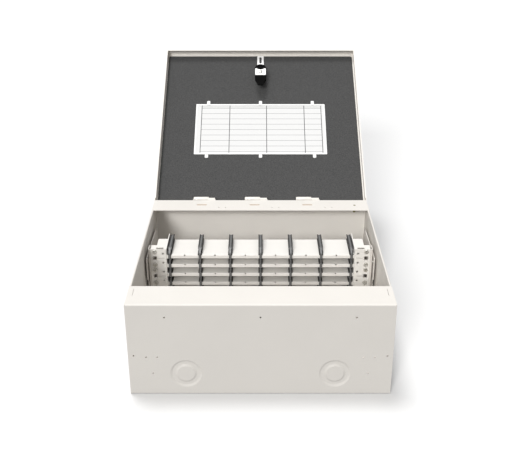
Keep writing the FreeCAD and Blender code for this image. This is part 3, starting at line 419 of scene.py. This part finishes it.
def rounded(x, y, low, high, radius):
    """Pull a grid point near a corner on to the corner's arc."""
    centre_x = min(max(x, low[0] + radius), high[0] - radius)
    centre_y = min(max(y, low[1] + radius), high[1] - radius)
    dx = x - centre_x
    dy = y - centre_y
    reach = math.hypot(dx, dy)
    if dx and dy:
        square = max(abs(dx), abs(dy))
        return centre_x + dx * square / reach, centre_y + dy * square / reach
    return x, y


def liner_cutouts(high):
    """Rectangles left open for the hinge leaves."""
    cuts = []
    for number in (1, 2, 3):
        leaf_low, leaf_high = closed_box("hinge_door_leaf_%d" % number)
        cuts.append((leaf_low.x - FOAM_CUT_MARGIN, leaf_high.x + FOAM_CUT_MARGIN,
                     leaf_low.y - FOAM_CUT_MARGIN, high.y))
    return cuts


def foam_liner():
    """Foam sheet with rounded cut edges and a soft, slightly uneven face."""
    low, high = closed_box("door_foam_liner")
    cuts = liner_cutouts(high)
    xs = steps(low.x, high.x, [c for cut in cuts for c in cut[:2]], FOAM_CELL)
    ys = steps(low.y, high.y, [cut[2] for cut in cuts], FOAM_CELL)
    face = low.z + FOAM_WAVE
    verts = []
    index = {}

    def vertex(i, j, layer):
        key = (i, j, layer)
        if key not in index:
            x, y = rounded(xs[i], ys[j], low, high, FOAM_CORNER)
            wave = noise.noise(Vector((x, y, 0.0)) * FOAM_WAVES_PER_METRE) * FOAM_WAVE
            z = face + wave if layer == 0 else high.z
            index[key] = len(verts)
            verts.append(opened((x, y, z)))
        return index[key]

    def inside(i, j):
        if not (0 <= i < len(xs) - 1 and 0 <= j < len(ys) - 1):
            return False
        x = (xs[i] + xs[i + 1]) / 2
        y = (ys[j] + ys[j + 1]) / 2
        return not any(a < x < b and c < y <= d for a, b, c, d in cuts)

    faces = []
    for i in range(len(xs) - 1):
        for j in range(len(ys) - 1):
            if not inside(i, j):
                continue
            corners = ((i, j), (i, j + 1), (i + 1, j + 1), (i + 1, j))
            faces.append([vertex(*corner, 0) for corner in corners])
            faces.append([vertex(*corner, 1) for corner in (corners[0], *corners[:0:-1])])
            rims = (((i, j), (i + 1, j), (i, j - 1)), ((i + 1, j), (i + 1, j + 1), (i + 1, j)),
                    ((i + 1, j + 1), (i, j + 1), (i, j + 1)), ((i, j + 1), (i, j), (i - 1, j)))
            for start, end, beyond in rims:
                if not inside(*beyond):
                    rim = ((*start, 0), (*end, 0), (*end, 1), (*start, 1))
                    faces.append([vertex(*corner) for corner in rim])
    liner = piece("foam_liner_sheet", verts, faces, "door", COATS["foam"])
    round_edges(liner, FOAM_EDGE, 3)
    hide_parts("door_foam_liner")


def round_edges(thing, width, segments):
    """Bevel the sharp edges and keep flat faces flat."""
    bevel = thing.modifiers.new("rounded", "BEVEL")
    bevel.width = width
    bevel.segments = segments
    bevel.limit_method = "ANGLE"
    bevel.angle_limit = math.radians(BEVEL_ANGLE_DEG)
    bevel.harden_normals = True


# ---- chart print ----
def chart_bars():
    """(x0, x1, y0, y1) of columns, rules and header on the closed door, and the card's face."""
    low, high = closed_box("chart_card")
    top = low.y + CHART_HEADER
    columns = [(x * MM - COLUMN_INK / 2, x * MM + COLUMN_INK / 2, low.y, high.y) for x in CHART_COLUMNS]
    left = CHART_COLUMNS[0] * MM
    right = CHART_COLUMNS[-1] * MM
    rules = []
    for row in range(CHART_ROWS):
        y = top + row * CHART_ROW_PITCH
        rules.append((left, right, y - ROW_INK / 2, y + ROW_INK / 2))
    header = [(left, right, low.y, top)]
    return columns, rules, header, low.z


def printed(name, bars, lift, coat, face_z):
    """Thin raised ink bars on the card's face."""
    verts = []
    faces = []
    for x0, x1, y0, y1 in bars:
        base = len(verts)
        for z in (face_z, face_z - lift):
            verts += [opened(p) for p in ((x0, y0, z), (x1, y0, z), (x1, y1, z), (x0, y1, z))]
        faces += [[base + i for i in loop] for loop in
                  ((0, 1, 2, 3), (7, 6, 5, 4), (0, 4, 5, 1), (1, 5, 6, 2), (2, 6, 7, 3), (3, 7, 4, 0))]
    piece(name, verts, faces, "door", COATS[coat], smooth=False)


def chart_print():
    columns, rules, header, face_z = chart_bars()
    printed("chart_columns", columns, 3 * INK_LIFT, "chart_ink", face_z)
    printed("chart_rules", rules, 2 * INK_LIFT, "chart_rule", face_z)
    printed("chart_header", header, INK_LIFT, "chart_header", face_z)


# ---- screws ----
def recess(x, y):
    """Depth of a cross recess at a point of the head's face."""
    def arm(along, across):
        side = min(1.0, max(0.0, (RECESS_HALF - abs(across)) / RECESS_SIDE_RUN + 0.5))
        end = min(1.0, max(0.0, (RECESS_ARM - abs(along)) / RECESS_END_RUN + 0.5))
        return side * end
    return RECESS_DEPTH * max(arm(x, y), arm(y, x))


def screw(head_r, head_h, shank_r, length):
    """Pan-head screw along +Z: dome, cross recess, seat and threaded shank."""
    around = 48
    rings = []
    face_rings = 16
    flat = head_r * HEAD_FLAT
    for i in range(1, face_rings + 1):
        r = flat * i / face_rings
        rings.append([(r * math.cos(t), r * math.sin(t),
                       head_h * (1 - HEAD_DOME * (r / head_r) ** 2)
                       - recess(r * math.cos(t), r * math.sin(t)))
                      for t in (2 * math.pi * k / around for k in range(around))])
    side = head_h * HEAD_SIDE
    crown = head_h * HEAD_CROWN
    for share in HEAD_EDGE_TURNS:
        turn = share * math.pi / 2
        r = flat + (head_r - flat) * math.sin(turn)
        rings.append(circle(r, side + (crown - side) * math.cos(turn), around))
    rings.append(circle(head_r, 0.0, around))
    rings.append(circle(shank_r, 0.0, around))
    count = max(2, round(length / THREAD_PITCH * RINGS_PER_TURN))
    for i in range(1, count + 1):
        z = -length * i / count
        rings.append(threaded(shank_r, z, around))
    return capped(rings, (0, 0, head_h - RECESS_DEPTH), (0, 0, -length))


def circle(radius, z, around):
    return [(radius * math.cos(2 * math.pi * k / around), radius * math.sin(2 * math.pi * k / around), z)
            for k in range(around)]


def threaded(radius, z, around):
    """Ring whose radius follows a screw thread's flanks."""
    ring = []
    for k in range(around):
        turn = k / around
        phase = (z / THREAD_PITCH - turn) % 1.0
        r = radius - THREAD_DEPTH * abs(2 * phase - 1)
        ring.append((r * math.cos(2 * math.pi * turn), r * math.sin(2 * math.pi * turn), z))
    return ring


def capped(rings, top, bottom):
    """Closed skin over rings of equal count, with a point at each end."""
    around = len(rings[0])
    verts = [top] + [p for ring in rings for p in ring] + [bottom]
    faces = [[0, 1 + k, 1 + (k + 1) % around] for k in range(around)]
    for i in range(len(rings) - 1):
        a = 1 + i * around
        b = a + around
        faces += [[a + k, b + k, b + (k + 1) % around, a + (k + 1) % around] for k in range(around)]
    last = 1 + (len(rings) - 1) * around
    end = len(verts) - 1
    faces += [[last + (k + 1) % around, last + k, end] for k in range(around)]
    return verts, faces


def placed(shapes):
    """Several (verts, faces, matrix) shapes as one list of vertices and faces."""
    verts = []
    faces = []
    for shape_verts, shape_faces, matrix in shapes:
        base = len(verts)
        verts += [matrix @ Vector(v) for v in shape_verts]
        faces += [[base + i for i in face] for face in shape_faces]
    return verts, faces


def pose(seat, axis, spin):
    """Matrix that puts local +Z along axis at seat, turned by spin about it."""
    turn = Vector((0, 0, 1)).rotation_difference(Vector(axis)).to_matrix().to_4x4()
    return Matrix.Translation(seat) @ turn @ Matrix.Rotation(spin, 4, "Z")


def group_of_screws(name, node, axis):
    """Detailed screws, heads towards axis, where a node's screw solids are."""
    axis = Vector(axis)
    along = max(range(3), key=lambda i: abs(axis[i]))
    shapes = []
    for number, (low, high) in enumerate(solids(node)):
        size = high[along] - low[along]
        seat = (low + high) / 2 + axis * (size / 2 - SCREW_HEAD_H)
        shape = screw(SCREW_HEAD_R, SCREW_HEAD_H, SCREW_SHANK_R, size - SCREW_HEAD_H)
        shapes.append((*shape, pose(seat, axis, SPIN_STEP * number)))
    verts, faces = placed(shapes)
    made = piece(name, verts, faces, "enclosure", COATS["zinc"])
    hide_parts(node)


def detailed_screws():
    group_of_screws("rack_screw_set", "rack_screws", (0, -1, 0))
    group_of_screws("bracket_screw_set", "bracket_screws", (0, 0, 1))


def cam_screw():
    """The screw that clamps the cam, on the lock's own axis."""
    low, high = closed_box("cam_screw")
    size = high.z - low.z
    seat = Vector(((low.x + high.x) / 2, (low.y + high.y) / 2, low.z + SCREW_HEAD_H))
    verts, faces = screw(SCREW_HEAD_R, SCREW_HEAD_H, SCREW_SHANK_R, size - SCREW_HEAD_H)
    turn = pose(seat, (0, 0, -1), CAM_SCREW_SPIN)
    verts = [opened(turn @ Vector(v)) for v in verts]
    made = piece("cam_screw_detail", verts, faces, "lock_cam", COATS["lock_chrome"])
    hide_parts("cam_screw")


def ground_stud():
    """Threaded stud under the far flange."""
    low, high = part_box("ground_stud")
    around = 32
    radius = (high.x - low.x) / 2
    length = high.z - low.z
    count = round(length / THREAD_PITCH * STUD_RINGS_PER_TURN)
    rings = [circle(radius * STUD_TOP, 0.0, around)]
    rings += [threaded(radius, -length * i / count, around) for i in range(1, count)]
    rings.append(circle(radius * STUD_TIP, -length, around))
    verts, faces = capped(rings, (0, 0, 0), (0, 0, -length))
    seat = Vector(((low.x + high.x) / 2, (low.y + high.y) / 2, high.z))
    verts = [seat + Vector(v) for v in verts]
    made = piece("ground_stud_threaded", verts, faces, "enclosure", COATS["stud_brass"])
    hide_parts("ground_stud")


# ---- stage, light and camera ----
def floor():
    """Plain pale floor that stays bright and takes a soft shadow."""
    z = CAD_BOX[0][2] - FLOOR_DROP
    half = FLOOR_SIZE / 2
    mesh = bpy.data.meshes.new("floor")
    corners = [(-half, -half, z), (half, -half, z), (half, half, z), (-half, half, z)]
    mesh.from_pydata(corners, [], [(0, 1, 2, 3)])
    thing = bpy.data.objects.new("floor", mesh)
    bpy.context.scene.collection.objects.link(thing)
    pale = bpy.data.materials.new("floor_pale")
    pale.use_nodes = True
    shader = pale.node_tree.nodes["Principled BSDF"]
    shader.inputs["Base Color"].default_value = FLOOR_SHADE
    shader.inputs["Roughness"].default_value = 0.9
    shader.inputs["Specular IOR Level"].default_value = 0.0
    mesh.materials.append(pale)
    thing.visible_diffuse = False


def sun(name, azimuth, elevation, irradiance, softness_deg, colour):
    """Even light from a direction; azimuth 0 comes from -Y and 90 from +X."""
    light = bpy.data.lights.new(name, "SUN")
    light.energy = irradiance
    light.angle = math.radians(softness_deg)
    light.color = colour
    thing = bpy.data.objects.new(name, light)
    thing.rotation_euler = (math.radians(90 - elevation), 0, math.radians(azimuth))
    bpy.context.scene.collection.objects.link(thing)


def sky():
    """Pale surround, brighter above the horizon than below it."""
    world = bpy.data.worlds.new("studio")
    bpy.context.scene.world = world
    world.use_nodes = True
    tree = world.node_tree
    place = tree.nodes.new("ShaderNodeTexCoord")
    split = tree.nodes.new("ShaderNodeSeparateXYZ")
    ramp = tree.nodes.new("ShaderNodeValToRGB")
    tree.links.new(place.outputs["Generated"], split.inputs["Vector"])
    tree.links.new(split.outputs["Z"], ramp.inputs["Fac"])
    ramp.color_ramp.elements[0].position = 0.0
    ramp.color_ramp.elements[0].color = SKY_LOW
    ramp.color_ramp.elements[1].position = SKY_RISE
    ramp.color_ramp.elements[1].color = SKY_HIGH
    tree.links.new(ramp.outputs["Color"], tree.nodes["Background"].inputs["Color"])


def lighting():
    sky()
    sun("key", *KEY_LIGHT)
    sun("front_fill", *FRONT_LIGHT)


def camera():
    data = bpy.data.cameras.new("camera")
    data.sensor_width = 36
    data.lens = CAMERA_LENS
    data.shift_x = CAMERA_SHIFT_X
    data.clip_end = 100
    thing = bpy.data.objects.new("camera", data)
    thing.location = CAMERA_PLACE
    thing.rotation_euler = (math.radians(90 - CAMERA_DOWN_DEG), 0, 0)
    bpy.context.scene.collection.objects.link(thing)
    bpy.context.scene.camera = thing


dress_nodes()
foam_liner()
chart_print()
detailed_screws()
cam_screw()
ground_stud()
floor()
lighting()
camera()
bpy.context.scene.view_settings.view_transform = "Standard"
